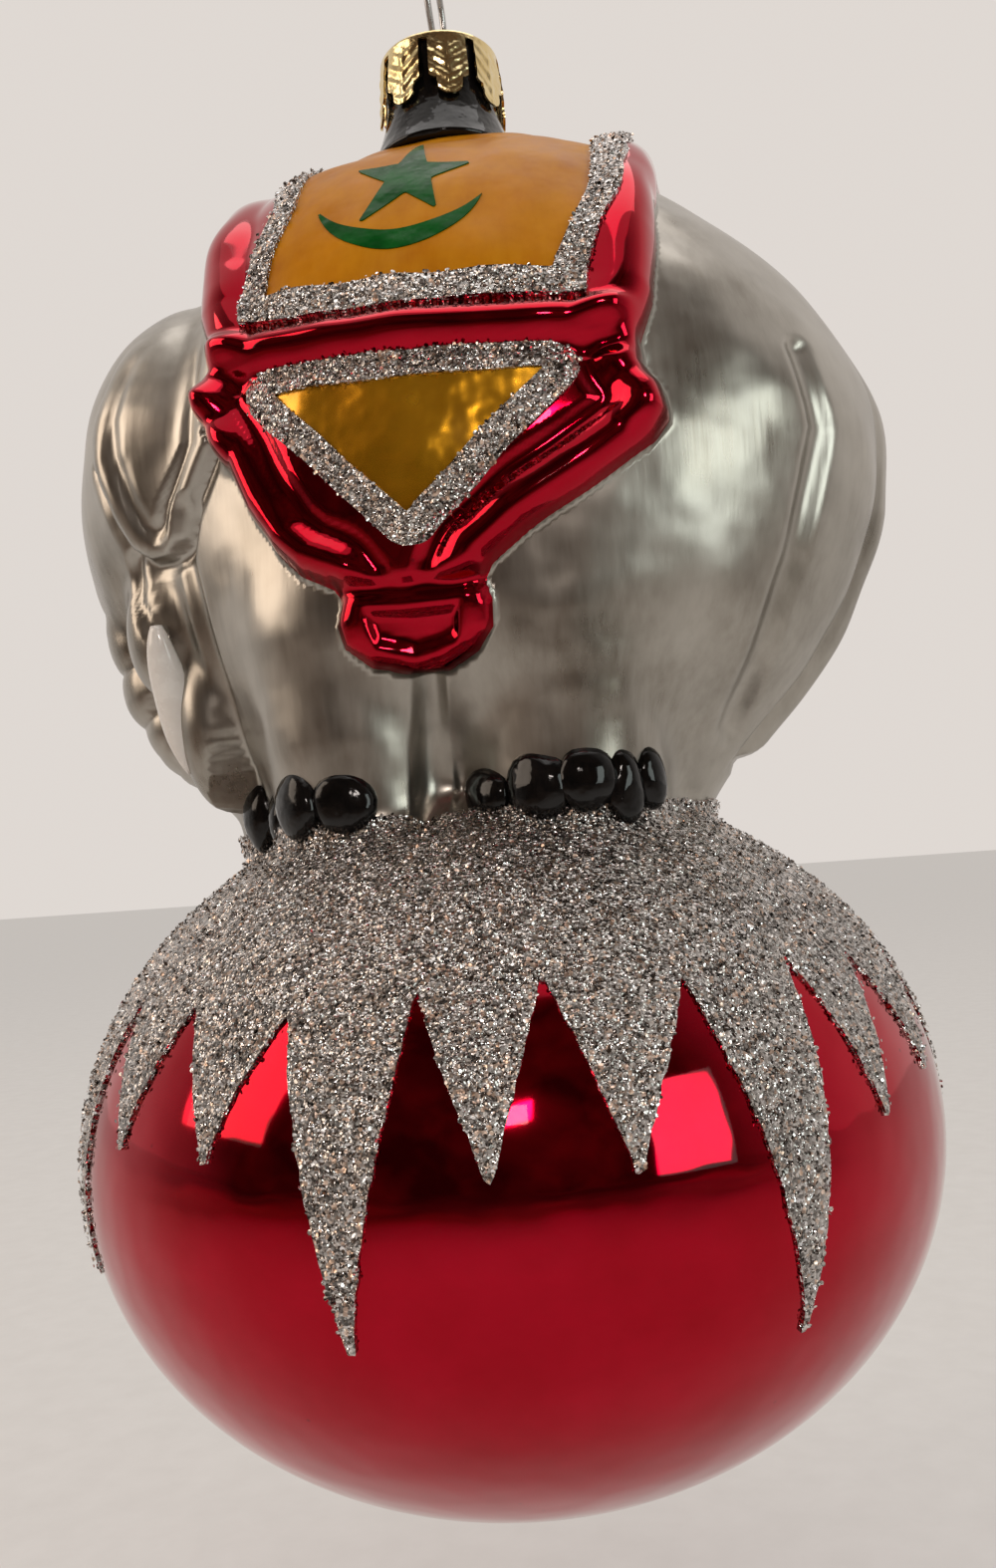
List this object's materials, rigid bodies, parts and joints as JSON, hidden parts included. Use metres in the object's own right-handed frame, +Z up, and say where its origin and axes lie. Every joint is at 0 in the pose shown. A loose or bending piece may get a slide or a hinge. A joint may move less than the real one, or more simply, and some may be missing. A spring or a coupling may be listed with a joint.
{
  "type": "hanging ornament",
  "caption": "Blown glass hanging ornament: an elephant in a saddle cloth on a mirror ball with glitter icicles, cap and wire loop.",
  "frame": {"origin": "top of the inside of the wire loop's eye, where the ornament hangs", "axes": "+Z up; +X from the elephant's head towards its rump; -Y towards the near flank"},
  "size_m": [0.0946, 0.0928, 0.1738],
  "materials": {
    "red_mirror_lacquer": "clear red lacquer over silvered glass, mirror gloss",
    "pewter_lacquer": "warm silver satin lacquer over silvered glass",
    "silver_glitter": "silver film flakes in clear glue",
    "gold_enamel": "golden orange pearl lacquer, satin",
    "amber_lacquer": "transparent amber lacquer over silvered glass, semi gloss",
    "green_enamel": "dark green enamel, gloss",
    "black_gloss": "black enamel, gloss",
    "white_enamel": "white enamel, gloss",
    "gold_cap": "pale gold stamped sheet, bright",
    "steel_wire": "bright spring wire"
  },
  "bodies": {
    "glass": {"crescent_far": "green_enamel", "crescent_near": "green_enamel", "ear_far": "pewter_lacquer", "ear_near": "pewter_lacquer", "flap_far": "red_mirror_lacquer", "flap_glitter_far": "silver_glitter", "flap_glitter_near": "silver_glitter", "flap_near": "red_mirror_lacquer", "flap_panel_far": "amber_lacquer", "flap_panel_near": "amber_lacquer", "flap_tassel_far": "red_mirror_lacquer", "flap_tassel_near": "red_mirror_lacquer", "front_leg_far": "pewter_lacquer", "front_leg_near": "pewter_lacquer", "front_toenails_far": "black_gloss", "front_toenails_near": "black_gloss", "glass_ball": "red_mirror_lacquer", "head": "pewter_lacquer", "hem_roll_far": "red_mirror_lacquer", "hem_roll_near": "red_mirror_lacquer", "hind_leg_far": "pewter_lacquer", "hind_leg_near": "pewter_lacquer", "hind_toenails_far": "black_gloss", "hind_toenails_near": "black_gloss", "icicle_glitter": "silver_glitter", "neck": "black_gloss", "saddle_cloth": "red_mirror_lacquer", "saddle_glitter": "silver_glitter", "saddle_panel": "gold_enamel", "star_far": "green_enamel", "star_near": "green_enamel", "tail": "pewter_lacquer", "torso": "pewter_lacquer", "trunk": "pewter_lacquer", "tusk_far": "white_enamel", "tusk_near": "white_enamel"},
    "cap": {"cap": "gold_cap"},
    "hanger": {"wire_hanger": "steel_wire"}
  },
  "joints": [
    {"name": "cap_lift", "type": "slide", "parent": "glass", "child": "cap", "axis": [0, 0, 1], "range_m": [0, 0.014]},
    {"name": "hanger_rock", "type": "hinge", "parent": "cap", "child": "hanger", "pos_m": [0, 0, -0.0119], "axis": [0, 1, 0], "range_deg": [-8, 8]}
  ]
}
